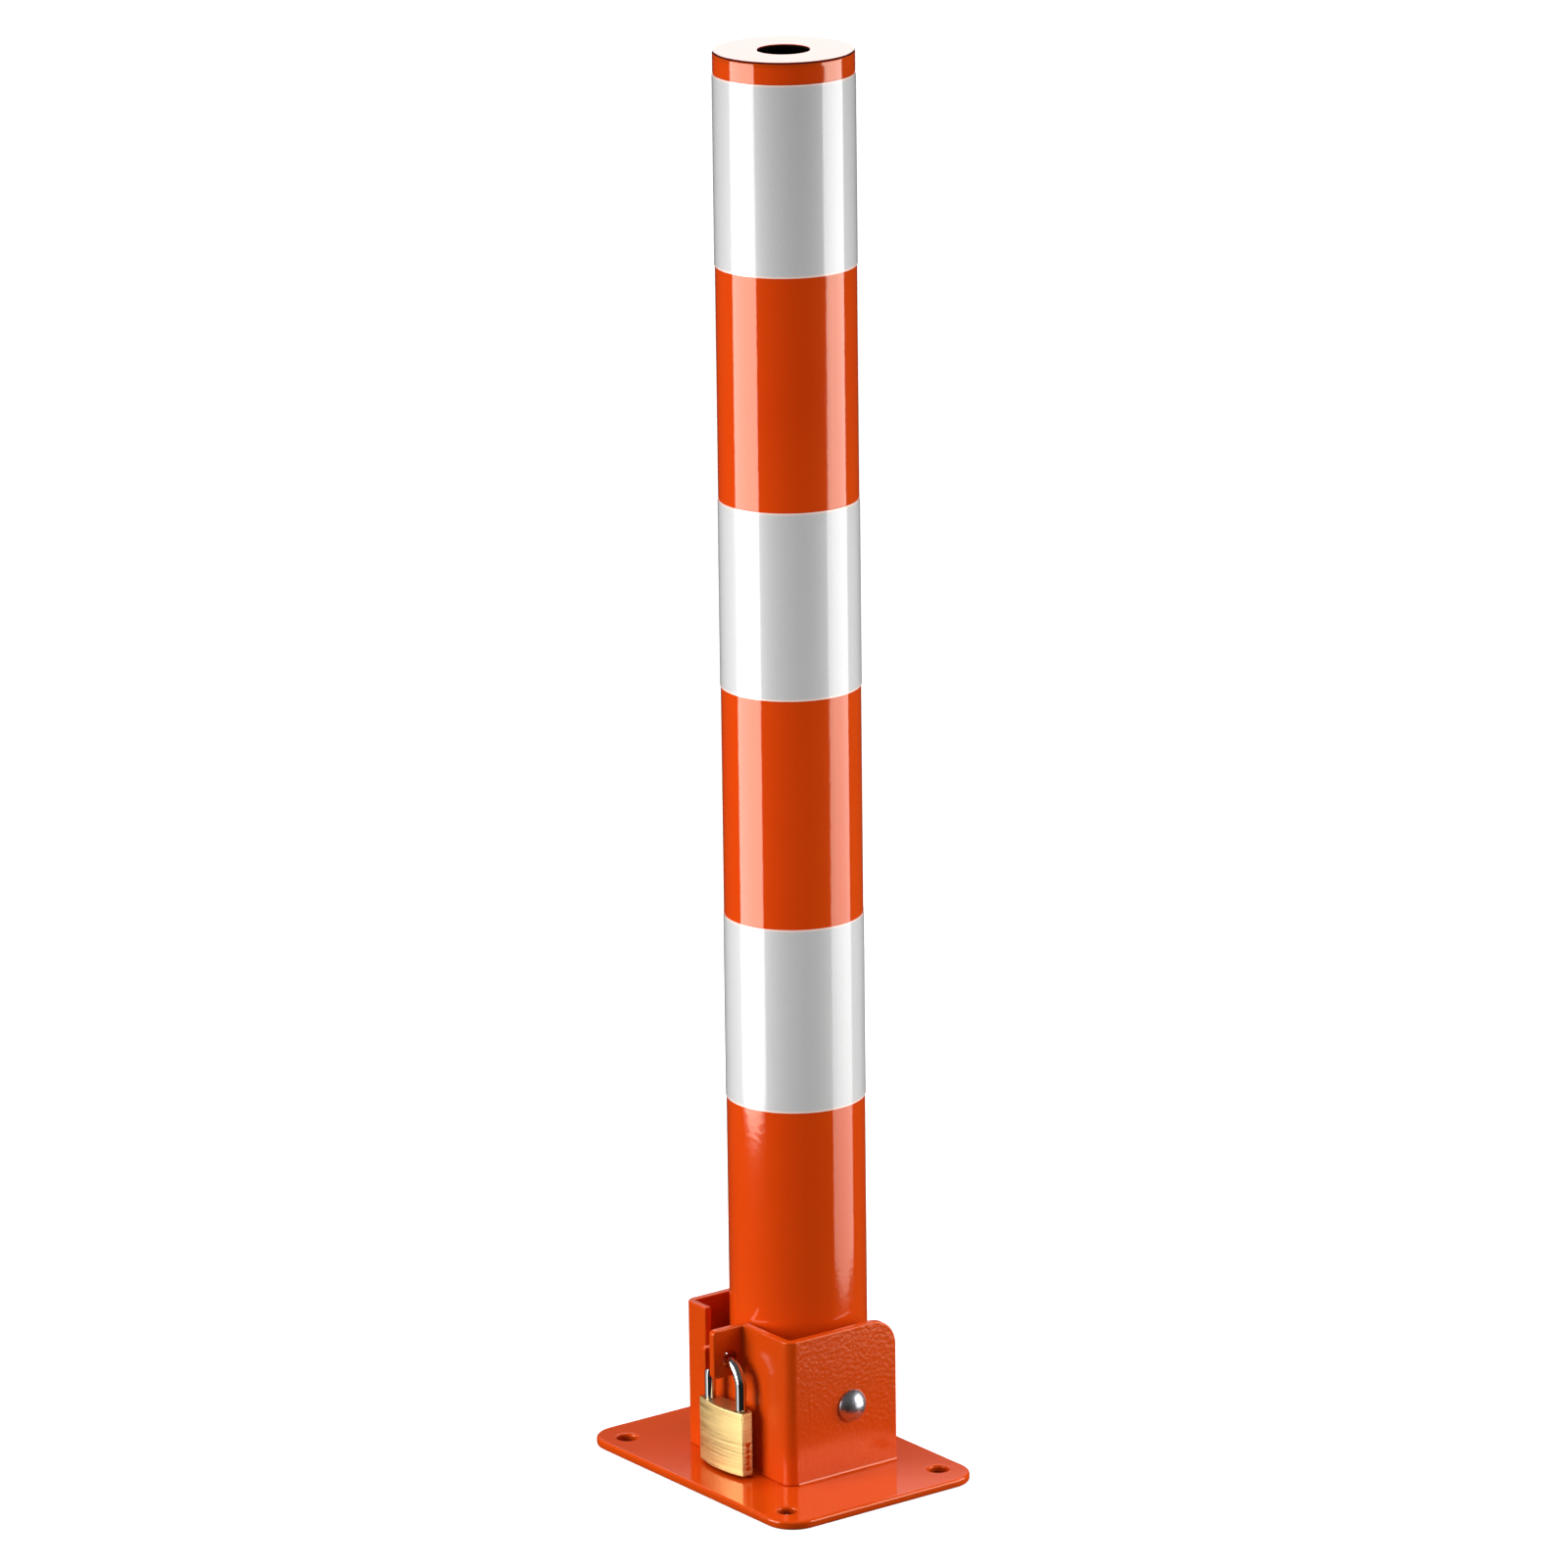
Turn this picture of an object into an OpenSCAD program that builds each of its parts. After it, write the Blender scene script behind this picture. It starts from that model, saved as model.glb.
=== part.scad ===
// Folding parking barrier: a tube post that pivots in a folded bracket on a bolt-down
// base plate and is held upright by a padlock. Millimetres, +Z up. The origin is the
// centre of the plate's underside, and the post folds backwards, towards +Y.

/* [Base plate] */
// Width of the plate, along X
plate_w = 188; // [160:1:260]
// Depth of the plate, along Y
plate_d = 134; // [128:1:220]
// Thickness of the plate
plate_t = 5; // [4:0.5:8]
// Radius of the plate's corners in plan
plate_corner_r = 17; // [6:1:22]
// Distance between the anchor holes along X
hole_pitch_x = 148; // [130:1:155]
// Distance between the anchor holes along Y
hole_pitch_y = 104; // [96:1:108]
// Diameter of the anchor holes
hole_d = 11; // [8:0.5:13]
// How far the post's axis lies behind the middle of the plate
post_back = 12.5; // [4:0.5:20]

/* [Bracket] */
// Free gap between the tube and each cheek
side_gap = 5.5; // [4:0.5:9]
// Depth of the cheeks, from the front face to their rear edge
bracket_d = 74; // [66:1:80]
// Height of the bracket above the plate
bracket_h = 83.5; // [78:0.5:100]
// Thickness of the folded sheet
sheet_t = 4.5; // [3:0.5:5]
// Outer radius of the two folds
fold_r = 6; // [5.5:0.5:9]
// Radius of the cheeks' upper rear corners
cheek_corner_r = 16; // [8:1:24]
// Free gap between the post and the front wall
front_gap = 0.5; // [0.4:0.1:1.5]
// Leg of the fillet weld inside the bracket's foot
foot_weld = 3; // [2:0.5:4]

/* [Lock ear and notch] */
// Distance from the post's axis to the ear's left face, along X
ear_x = 2; // [0:0.5:4]
// How far the ear stands out of the front face
ear_reach = 20; // [18:0.5:24]
// How far the ear reaches below the eye's centre, which is also where the notch ends
ear_below = 10; // [8:0.1:13]
// Inner radius of the ear's fold
ear_fold_r = 2; // [1:0.5:4]
// Radius of the ear's free corners
ear_corner_r = 2.5; // [1:0.5:4]
// Width of the notch, from its left edge to the ear
notch_w = 30.5; // [26:0.5:33]
// Diameter of the eye for the padlock
eye_d = 9; // [8.5:0.5:10]
// Distance from the front face to the eye's centre
eye_out = 9; // [8.5:0.5:10]

/* [Post] */
// Outside diameter of the tube
post_d = 76; // [70:1:80]
// Wall of the tube
post_wall = 2; // [1.5:0.5:4]
// Height of the post's top above the ground
post_top = 792; // [600:1:1000]
// Thickness of the welded top disc
cap_t = 3; // [2:0.5:6]
// Radius of the top disc's upper edge
cap_edge_r = 1.4; // [0.5:0.1:1.9]
// Diameter of the hole in the top disc
cap_hole_d = 27.5; // [16:0.5:40]
// Gap between the round foot of the tube and the plate
foot_gap = 0.4; // [0.3:0.1:2]

/* [Reflective bands] */
// Number of bands
band_count = 3; // [1:1:3]
// Height of one band
band_h = 104; // [50:1:120]
// Painted tube between two bands
band_gap = 128; // [60:1:140]
// Painted tube above the top band
band_top_gap = 12; // [5:1:40]
// Thickness of the film
band_t = 0.3; // [0.1:0.1:0.5]

/* [Pivot] */
// Diameter of the pivot bolt
bolt_d = 10; // [8:1:12]
// Radial running clearance of the sleeve on the bolt
bolt_play = 0.05; // [0.03:0.01:0.09]
// Outside diameter of the sleeve that is welded across the tube
sleeve_d = 14; // [14:0.5:18]
// Leg of the ring welds between the sleeve and the tube
sleeve_weld = 2.5; // [1.5:0.5:3]
// Gap between each end of the sleeve and its cheek
sleeve_gap = 0.3; // [0.2:0.1:0.6]
// Diameter of the bolt's domed head
head_d = 18.5; // [15:0.5:22]
// Height of the bolt's domed head
head_h = 6; // [4:0.5:8]
// Outside diameter of the washer
washer_d = 21; // [18:1:26]
// Thickness of the washer
washer_t = 2; // [1:0.5:3]
// Width across the flats of the nut
nut_flats = 17; // [16:1:19]
// Height of the nut, its nylon collar left out
nut_h = 8; // [6:0.5:10]
// Height of the nut's collar
collar_h = 2; // [1.5:0.5:3]

/* [Post lug] */
// Distance from the post's axis to the lug's right face, to the left along X
lug_x = 1.5; // [1:0.5:3]
// Thickness of the lug
lug_t = 4; // [3:0.5:5]
// How far the lug reaches below the eye's centre
lug_below = 6.5; // [5.5:0.1:9]
// How far the lug reaches above the eye's centre
lug_above = 6.5; // [6:0.1:9]
// Width of the lug's curved slot
slot_w = 8.6; // [8.2:0.2:9]
// Leg of the fillet welds beside the lug
lug_weld = 2.5; // [1.5:0.5:3]

/* [Padlock] */
// Width of the padlock's body
lock_w = 40; // [39:1:44]
// Height of the padlock's body
lock_h = 36.8; // [36:0.2:38.4]
// Thickness of the padlock's body in its middle
lock_t = 12.6; // [12:0.2:13.4]
// Thickness of the padlock's body at its two sides
lock_side_t = 6.8; // [6.6:0.2:11]
// Gap between the hanging padlock and the plate
lock_floor_gap = 1.6; // [1:0.2:4]
// Diameter of the shackle's wire
shackle_d = 6; // [5:0.5:6]
// Distance between the shackle's legs, centre to centre
shackle_pitch = 28.5; // [27:0.5:29]
// Distance from the body's top to the inside of the shackle's arch
shackle_clear = 23.9; // [23.5:0.1:24.5]
// Depth of the long, captive leg in the body
heel_depth = 30; // [26:1:31]
// Depth of the short leg in the body
toe_depth = 9; // [8:0.5:11]
// Diameter of the key cylinder
plug_d = 8.5; // [8:0.25:9]
// Length of the key cylinder
plug_len = 21.5; // [21:0.5:23]
// Number of pin stacks
pin_count = 5; // [3:1:5]
// Distance between the pin stacks
pin_pitch = 3.4; // [3.2:0.1:3.5]
// Diameter of the pins
pin_d = 2.7; // [2:0.1:2.8]

/* [Hidden] */
$fn = 96;
eps = 0.01;

// The post's axis, the pivot and the faces that the other pieces start from
wall_in = -(post_d / 2 + front_gap);
wall_out = wall_in - sheet_t;
cheek_in = post_d / 2 + side_gap;
bracket_w = 2 * (cheek_in + sheet_t);
foot_play = 0.2;
glue_t = 0.02;
foot_r = post_d / 2 + foot_play;
pivot_z = plate_t + foot_gap + foot_r;
bracket_top = plate_t + bracket_h;
ear_end = wall_out - ear_reach;

// The eye, and the padlock that hangs in it
eye_y = wall_out - eye_out;
lock_x = ear_x;
wire_r = shackle_d / 2;
arch_r = shackle_pitch / 2;
lock_low = plate_t + lock_floor_gap;
lock_top = lock_low + lock_h;
lock_bow = (lock_t - lock_side_t) / 2;
lock_bow_r = (pow(lock_w / 2, 2) + pow(lock_bow, 2)) / (2 * lock_bow);
arch_z = lock_top + shackle_clear - arch_r + wire_r;
eye_drop = 0.3;
ear_far = ear_x + sheet_t - lock_x;
wire_low = arch_z + sqrt(pow(arch_r - wire_r, 2) - pow(ear_far, 2));
eye_z = wire_low - eye_drop + eye_d / 2;
ear_low = eye_z - ear_below;
ear_h = bracket_top - ear_low;

// The lug's slot is an arc about the pivot, so the shackle leaves it as the post folds
lug_play = 0.3;
slot_z = arch_z + arch_r + wire_r + lug_play - slot_w / 2;
slot_r = norm([eye_y, slot_z - pivot_z]);

lug_corner_r = 1.5;
lug_low = eye_z - lug_below;
lug_high = eye_z + lug_above;

// The nut's collar and the nylon ring in it
collar_step = 0.6;
insert_t = 1.2;
lip_t = 0.5;
lip_play = 0.3;

// Inside the padlock
leg_play = 0.15;
spring_room = 5;
plug_play = 0.1;
pin_play = 0.1;
plug_r = plug_d / 2;
pin_r = pin_d / 2;
plug_low = lock_low + 0.2;
plug_top = plug_low + plug_len;
first_pin_z = plug_low + 4.2;
chamber_cap_t = 3;
shear_line = plug_r + 0.2;
key_pin_start = 1.2;
driver_pin_len = 3.6;
retainer_z = plug_top - 1.6;
retainer_r = 0.7;
retainer_in = 2.3;
retainer_sunk = 0.3;
driver_r = 3.4;
driver_low = plug_top + 0.2;
latch_z = lock_top - 5;
latch_r = 2.2;
driver_top = latch_z + latch_r + 0.4;
notch_in = 1.1;

paint = "#d2400c";
zinc = "#b9bcc0";
bright = "#dcdfe3";
brass = "#c8a45c";
film = "#e9e9e6";
nylon = "#e4e6ea";

// Moves its children from the post's axis to the part's own origin
module at_post() {
    translate([0, post_back, 0]) children();
}

// A cylinder along +X that starts at x
module x_rod(r, x, len) {
    translate([x, 0, 0]) rotate([0, 90, 0]) cylinder(r = r, h = len);
}

// A cylinder along +Y that starts at y
module y_rod(r, y, len) {
    translate([0, y, 0]) rotate([-90, 0, 0]) cylinder(r = r, h = len);
}

// A flat plate in the YZ plane with all four corners rounded, from x = 0 to t
module yz_plate(y0, y1, z0, z1, t, r) {
    translate([0, y0 + r, z0]) cube([t, y1 - y0 - 2 * r, z1 - z0]);
    translate([0, y0, z0 + r]) cube([t, y1 - y0, z1 - z0 - 2 * r]);
    for (y = [y0 + r, y1 - r], z = [z0 + r, z1 - r])
        translate([0, y, z]) x_rod(r, 0, t);
}

// An upright block whose four corners are rounded in plan
module rounded_block(w, d, h, r) {
    translate([-w / 2, -d / 2 + r, 0]) cube([w, d - 2 * r, h]);
    translate([-w / 2 + r, -d / 2, 0]) cube([w - 2 * r, d, h]);
    for (x = [-1, 1], y = [-1, 1])
        translate([x * (w / 2 - r), y * (d / 2 - r), 0]) cylinder(r = r, h = h);
}

// A block from the post's axis frame that is rounded at its two front corners only
module front_rounded_block(w, front, back, h, r) {
    translate([-w / 2, front + r, 0]) cube([w, back - front - r, h]);
    translate([-w / 2 + r, front, 0]) cube([w - 2 * r, r + eps, h]);
    for (x = [-1, 1])
        translate([x * (w / 2 - r), front + r, 0]) cylinder(r = r, h = h);
}

// A round-wire compression spring along +Z, with its wire inside r and 0 to h
module coil(r, wire, h, turns, sides = 5, steps = 10) {
    rings = turns * steps;
    mid = r - wire / 2;
    pts = [
        for (i = [0:rings], s = [0:sides - 1])
            let (
                a = 360 * i / steps,
                b = 360 * s / sides,
                q = mid + wire / 2 * cos(b),
                z = wire / 2 + (h - wire) * i / rings + wire / 2 * sin(b)
            )
            [q * cos(a), q * sin(a), z]
    ];
    walls = [
        for (i = [0:rings - 1], s = [0:sides - 1])
            let (n = (s + 1) % sides)
            [i * sides + s, (i + 1) * sides + s, (i + 1) * sides + n, i * sides + n]
    ];
    first = [for (s = [0:sides - 1]) s];
    last = [for (s = [sides - 1:-1:0]) rings * sides + s];
    polyhedron(points = pts, faces = concat(walls, [first, last]), convexity = 6);
}

module base_plate() {
    color(paint)
    difference() {
        rounded_block(plate_w, plate_d, plate_t, plate_corner_r);
        for (x = [-1, 1], y = [-1, 1])
            translate([x * hole_pitch_x / 2, y * hole_pitch_y / 2, -eps])
                cylinder(d = hole_d, h = plate_t + 2 * eps);
    }
}

// The folded sheet's plan shape, as high as h
module channel(h) {
    difference() {
        front_rounded_block(bracket_w, wall_out, wall_out + bracket_d, h, fold_r);
        translate([0, 0, -eps])
            front_rounded_block(2 * cheek_in, wall_in, wall_out + bracket_d + 1,
                h + 2 * eps, fold_r - sheet_t);
    }
}

// The tab that is cut out of the notch and folded forwards
module ear() {
    fold_x = ear_x + sheet_t + ear_fold_r;
    fold_y = wall_out - ear_fold_r;
    difference() {
        translate([ear_x, 0, 0])
            yz_plate(ear_end, fold_y + ear_corner_r, ear_low, bracket_top, sheet_t, ear_corner_r);
        translate([ear_x - 1, fold_y, ear_low - 1]) cube([sheet_t + 2, ear_corner_r + 1, ear_h + 2]);
        translate([0, eye_y, eye_z]) x_rod(eye_d / 2, ear_x - 1, sheet_t + 2);
    }
    intersection() {
        translate([fold_x, fold_y, ear_low])
            difference() {
                cylinder(r = ear_fold_r + sheet_t, h = ear_h);
                translate([0, 0, -eps]) cylinder(r = ear_fold_r, h = ear_h + 2 * eps);
            }
        translate([ear_x, fold_y, ear_low])
            cube([sheet_t + ear_fold_r, ear_fold_r + sheet_t, ear_h]);
    }
}

module bracket() {
    fold_x = ear_x + sheet_t + ear_fold_r;
    notch_corner = 3;
    color(paint)
    at_post() {
        difference() {
            translate([0, 0, plate_t]) channel(bracket_h);
            difference() {
                translate([ear_x - notch_w, wall_out - 1, ear_low])
                    cube([fold_x - ear_x + notch_w, sheet_t + 2, ear_h + 1]);
                difference() {
                    translate([ear_x - notch_w - eps, wall_out - 2, ear_low - eps])
                        cube([notch_corner, sheet_t + 4, notch_corner]);
                    translate([ear_x - notch_w + notch_corner, 0, ear_low + notch_corner])
                        y_rod(notch_corner, wall_out - 3, sheet_t + 6);
                }
            }
            for (x = [-1, 1])
                translate([x * bracket_w / 2 - (bracket_w / 2 - cheek_in + 1), 0, 0])
                difference() {
                    translate([0, wall_out + bracket_d - cheek_corner_r, bracket_top - cheek_corner_r])
                        cube([2 * (sheet_t + 1), cheek_corner_r + 1, cheek_corner_r + 1]);
                    translate([0, wall_out + bracket_d - cheek_corner_r, bracket_top - cheek_corner_r])
                        x_rod(cheek_corner_r, -1, 2 * (sheet_t + 2));
                }
            translate([0, 0, pivot_z])
                x_rod(bolt_d / 2 + bolt_play, -bracket_w / 2 - 1, bracket_w + 2);
        }
        ear();
    }
}

// One straight fillet bead along +Y, with its corner on the X = 0 and Z = 0 planes
module bead(leg, len) {
    rotate([90, 0, 180]) linear_extrude(len) polygon([[0, 0], [-leg, 0], [0, leg]]);
}

// The fillet weld runs inside the bracket's foot, where the round tube leaves room for it
module bracket_weld() {
    inner_d = wall_out + bracket_d - wall_in;
    color(paint)
    at_post() difference() {
        translate([0, 0, plate_t]) {
            translate([cheek_in, wall_in, 0]) mirror([1, 0, 0]) bead(foot_weld, inner_d);
            translate([-cheek_in, wall_in, 0]) bead(foot_weld, inner_d);
            translate([cheek_in, wall_in, 0]) rotate([0, 0, 90]) bead(foot_weld, 2 * cheek_in);
        }
        difference() {
            translate([-bracket_w / 2, wall_out, plate_t - 1]) cube([bracket_w, bracket_d + 1, foot_weld + 2]);
            translate([0, 0, plate_t - 2])
                front_rounded_block(2 * cheek_in, wall_in, wall_out + bracket_d + 2,
                    foot_weld + 4, fold_r - sheet_t);
        }
    }
}

// A mushroom head: a dome on a low straight edge, along +X from x = 0
module domed_head(d, h) {
    edge = 0.8;
    rise = h - edge;
    dome_r = (pow(d / 2, 2) + pow(rise, 2)) / (2 * rise);
    rotate([0, 90, 0]) rotate_extrude() {
        square([d / 2, edge]);
        intersection() {
            translate([0, h - dome_r]) circle(r = dome_r);
            translate([0, edge - eps]) square([d / 2, h]);
        }
    }
}

module pivot_bolt() {
    tail = washer_t + nut_h + collar_h + 2;
    color(bright)
    at_post() translate([0, 0, pivot_z]) {
        x_rod(bolt_d / 2, -bracket_w / 2 - tail, bracket_w + tail + eps);
        translate([bracket_w / 2, 0, 0]) domed_head(head_d, head_h);
    }
}

module pivot_washer() {
    color(zinc)
    at_post() translate([-bracket_w / 2 - washer_t, 0, pivot_z])
        difference() {
            x_rod(washer_d / 2, 0, washer_t);
            x_rod(bolt_d / 2 + 0.25, -1, washer_t + 2);
        }
}

module pivot_nut() {
    color(zinc)
    at_post() translate([-bracket_w / 2 - washer_t, 0, pivot_z])
        difference() {
            union() {
                translate([-nut_h, 0, 0]) rotate([0, 90, 0])
                    cylinder(d = nut_flats / cos(30), h = nut_h, $fn = 6);
                x_rod(nut_flats / 2 - collar_step, -nut_h - collar_h, collar_h + eps);
            }
            x_rod(bolt_d / 2, -nut_h - 1, nut_h + 2);
            x_rod(bolt_d / 2 + insert_t, -nut_h - collar_h + lip_t, collar_h - lip_t + eps);
            x_rod(bolt_d / 2 + lip_play, -nut_h - collar_h - 1, lip_t + 1.5);
        }
}

// The nylon ring that grips the bolt's thread
module nut_insert() {
    color(nylon)
    at_post() translate([-bracket_w / 2 - washer_t, 0, pivot_z])
        difference() {
            x_rod(bolt_d / 2 + insert_t, -nut_h - collar_h + lip_t, collar_h - lip_t);
            x_rod(bolt_d / 2, -nut_h - collar_h - 1, collar_h + 2);
        }
}

// The tube's foot is cut round about the pivot, so it swings clear of the wall and the plate
module post_tube() {
    r = post_d / 2;
    color(paint)
    at_post() difference() {
        translate([0, 0, plate_t]) cylinder(r = r, h = post_top - cap_t - plate_t);
        translate([0, 0, plate_t - 1]) cylinder(r = r - post_wall, h = post_top);
        difference() {
            translate([-r - 1, -r - 1, plate_t - 1]) cube([2 * r + 2, 2 * r + 2, pivot_z - plate_t + 1]);
            translate([0, 0, pivot_z]) x_rod(foot_r, -r - 2, 2 * r + 4);
        }
        translate([0, 0, pivot_z]) x_rod(sleeve_d / 2, -r - 1, 2 * r + 2);
    }
}

// A flat disc with a rounded upper edge and a plain round hole
module top_cap() {
    r = post_d / 2;
    color(paint)
    at_post() translate([0, 0, post_top - cap_t])
        rotate_extrude() {
            translate([cap_hole_d / 2, 0]) square([r - cap_hole_d / 2, cap_t - cap_edge_r]);
            translate([cap_hole_d / 2, 0]) square([r - cap_hole_d / 2 - cap_edge_r, cap_t]);
            translate([r - cap_edge_r, cap_t - cap_edge_r]) circle(r = cap_edge_r, $fn = 48);
        }
}

// One band of film, counted from the top
module band(i) {
    low = post_top - band_top_gap - band_h - i * (band_h + band_gap);
    color(film)
    at_post() translate([0, 0, low])
        difference() {
            cylinder(r = post_d / 2 + glue_t + band_t, h = band_h);
            translate([0, 0, -1]) cylinder(r = post_d / 2 + glue_t, h = band_h + 2);
        }
}

module band_top() { band(0); }
module band_middle() { band(1); }
module band_bottom() { band(2); }

module pivot_sleeve() {
    len = 2 * (cheek_in - sleeve_gap);
    color(zinc)
    at_post() translate([0, 0, pivot_z]) difference() {
        x_rod(sleeve_d / 2, -len / 2, len);
        x_rod(bolt_d / 2 + bolt_play, -len / 2 - 1, len + 2);
    }
}

// A ring of weld on each side, between the sleeve and the tube
module sleeve_welds() {
    r = post_d / 2;
    ring_r = sleeve_d / 2;
    root = 2;
    toe = 0.4;
    color(paint)
    at_post() difference() {
        translate([0, 0, pivot_z])
        for (side = [0, 1])
            mirror([side, 0, 0])
            rotate([0, 90, 0]) rotate_extrude()
                polygon([
                    [ring_r, r - root], [ring_r + sleeve_weld, r - root],
                    [ring_r + sleeve_weld, r - toe], [ring_r, r + sleeve_weld]
                ]);
        cylinder(r = r, h = post_top);
    }
}

// The hooked lug of the post: the padlock's wire lies in the round end of its slot
module lock_lug() {
    slot_r_in = slot_r - slot_w / 2;
    slot_r_out = slot_r + slot_w / 2;
    color(paint)
    at_post() translate([-lug_x - lug_t, 0, 0]) difference() {
        yz_plate(ear_end, 0, lug_low, lug_high, lug_t, lug_corner_r);
        translate([lug_x + lug_t, 0, 0]) cylinder(r = post_d / 2, h = 2 * lug_high);
        translate([0, eye_y, slot_z]) x_rod(slot_w / 2, -1, lug_t + 2);
        intersection() {
            translate([0, 0, pivot_z]) difference() {
                x_rod(slot_r_out, -1, lug_t + 2);
                x_rod(slot_r_in, -2, lug_t + 4);
            }
            slot_below_eye();
        }
    }
}

// The wedge about the pivot that lies below the eye
module slot_below_eye() {
    tilt = atan2(slot_z - pivot_z, -eye_y);
    translate([-2, 0, pivot_z]) rotate([-tilt, 0, 0])
        translate([0, -2 * slot_r, -2 * slot_r]) cube([lug_t + 4, 2 * slot_r, 2 * slot_r]);
}

module lug_welds() {
    r = post_d / 2;
    height = lug_high - lug_low - 2 * lug_corner_r;
    root = 3;
    toe = 0.6;
    color(paint)
    at_post() difference() {
        for (side = [0, 1])
            translate([-lug_x - (1 - side) * lug_t, -r, lug_low + lug_corner_r])
            mirror([1 - side, 0, 0])
            linear_extrude(height)
                polygon([[0, root], [lug_weld, root], [lug_weld, toe], [0, -lug_weld]]);
        cylinder(r = r, h = post_top);
    }
}

// Moves its children to the padlock's own axis, in the plane of its shackle
module at_lock() {
    translate([lock_x, post_back + eye_y, 0]) children();
}

module pin_row() {
    for (i = [0:pin_count - 1])
        translate([0, 0, first_pin_z + i * pin_pitch]) children();
}

// The padlock's solid outline: a block whose front and back are bowed outwards
module bowed_block() {
    intersection() {
        translate([-lock_w / 2, -lock_t, 0]) cube([lock_w, 2 * lock_t, lock_h]);
        translate([0, lock_bow_r - lock_t / 2, 0]) cylinder(r = lock_bow_r, h = lock_h, $fn = 240);
        translate([0, lock_t / 2 - lock_bow_r, 0]) cylinder(r = lock_bow_r, h = lock_h, $fn = 240);
    }
}

module padlock_body() {
    leg_r = wire_r + leg_play;
    color(brass)
    at_lock() difference() {
        translate([0, 0, lock_low]) bowed_block();
        translate([-arch_r, 0, lock_top - heel_depth - spring_room])
            cylinder(r = leg_r, h = heel_depth + spring_room + 1);
        translate([arch_r, 0, lock_top - toe_depth - 0.5]) cylinder(r = leg_r, h = toe_depth + 2);
        translate([0, 0, lock_low - 1]) cylinder(r = plug_r + plug_play, h = plug_top - lock_low + 1.1);
        translate([0, 0, plug_top]) cylinder(r = driver_r + 0.2, h = driver_top - plug_top + 0.2);
        translate([0, 0, latch_z]) x_rod(latch_r + 0.1, -arch_r, 2 * arch_r);
        pin_row() x_rod(pin_r + pin_play, 0, lock_w);
        translate([-plug_r, 0, retainer_z]) y_rod(retainer_r + 0.05, -retainer_in - 0.2, lock_t);
    }
}

module shackle() {
    notch_r = latch_r + 0.25;
    color(bright)
    at_lock() difference() {
        union() {
            translate([0, 0, arch_z]) rotate([90, 0, 0])
                rotate_extrude(angle = 180) translate([arch_r, 0]) circle(r = wire_r, $fn = 48);
            translate([-arch_r, 0, lock_top - heel_depth])
                cylinder(r = wire_r, h = arch_z - lock_top + heel_depth + eps);
            translate([arch_r, 0, lock_top - toe_depth])
                cylinder(r = wire_r, h = arch_z - lock_top + toe_depth + eps);
        }
        for (side = [0, 1])
            mirror([side, 0, 0]) translate([0, 0, latch_z])
                x_rod(notch_r, arch_r - wire_r - 1, notch_in + 1);
        translate([-arch_r, 0, lock_top - heel_depth + 2]) difference() {
            cylinder(r = wire_r + 1, h = 3);
            translate([0, 0, -1]) cylinder(r = wire_r - 0.8, h = 5);
        }
    }
}

module shackle_spring() {
    end_play = 0.1;
    color(zinc)
    at_lock() translate([-arch_r, 0, lock_top - heel_depth - spring_room + end_play])
        coil(wire_r - end_play, 0.7, spring_room - 2 * end_play, 4);
}

// Two bolts that reach from the driver into the notches of the shackle's legs
module locking_bolts() {
    inner = driver_r + 0.15;
    outer = arch_r - wire_r + notch_in - 0.25;
    color(zinc)
    at_lock() translate([0, 0, latch_z])
        for (side = [0, 1])
            mirror([side, 0, 0]) x_rod(latch_r, inner, outer - inner);
}

module cylinder_plug() {
    keyway_w = 1.6;
    color(brass)
    at_lock() difference() {
        translate([0, 0, plug_low]) cylinder(r = plug_r, h = plug_len);
        translate([-plug_r + 1, -keyway_w / 2, plug_low - 1]) cube([2 * plug_r - 2.2, keyway_w, plug_len - 2.6]);
        pin_row() x_rod(pin_r + pin_play, 0, plug_r + 1);
        translate([0, 0, plug_top - 2.6]) difference() {
            cylinder(r = plug_r + 1, h = 2);
            translate([0, 0, -1]) cylinder(r = plug_r - 1, h = 4);
        }
        translate([0, 0, plug_top - 0.4]) cylinder(r = 1.6, h = 2);
    }
}

// The driver holds the locking bolts apart, and its two flats let them in after a quarter turn
module lock_driver() {
    flat = 1.6;
    color(zinc)
    at_lock() {
        translate([0, 0, plug_top - 0.4]) cylinder(r = 1.5, h = driver_low - plug_top + 0.41);
        difference() {
            translate([0, 0, driver_low]) cylinder(r = driver_r, h = driver_top - driver_low);
            for (side = [-1, 1])
                translate([-driver_r - 1, side * (driver_r + 2 - flat) - 2, latch_z - latch_r - 0.3])
                    cube([2 * driver_r + 2, 4, 2 * latch_r + 1.5]);
        }
    }
}

module key_pins() {
    color(brass)
    at_lock() pin_row() x_rod(pin_r, key_pin_start, plug_r - 0.3 - key_pin_start);
}

module driver_pins() {
    color(brass)
    at_lock() pin_row() x_rod(pin_r, shear_line, driver_pin_len);
}

module pin_springs() {
    end_play = 0.1;
    start = shear_line + driver_pin_len + end_play;
    len = lock_w / 2 - chamber_cap_t - end_play - start;
    color(zinc)
    at_lock() pin_row()
        translate([start, 0, 0]) rotate([0, 90, 0]) coil(pin_r, 0.4, len, 4, 4, 8);
}

module chamber_plugs() {
    color(brass)
    at_lock() pin_row() x_rod(pin_r + pin_play, lock_w / 2 - chamber_cap_t, chamber_cap_t);
}

module plug_retainer() {
    color(zinc)
    at_lock() translate([-plug_r, 0, retainer_z])
        y_rod(retainer_r, -retainer_in, lock_t / 2 - retainer_sunk + retainer_in);
}

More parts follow.
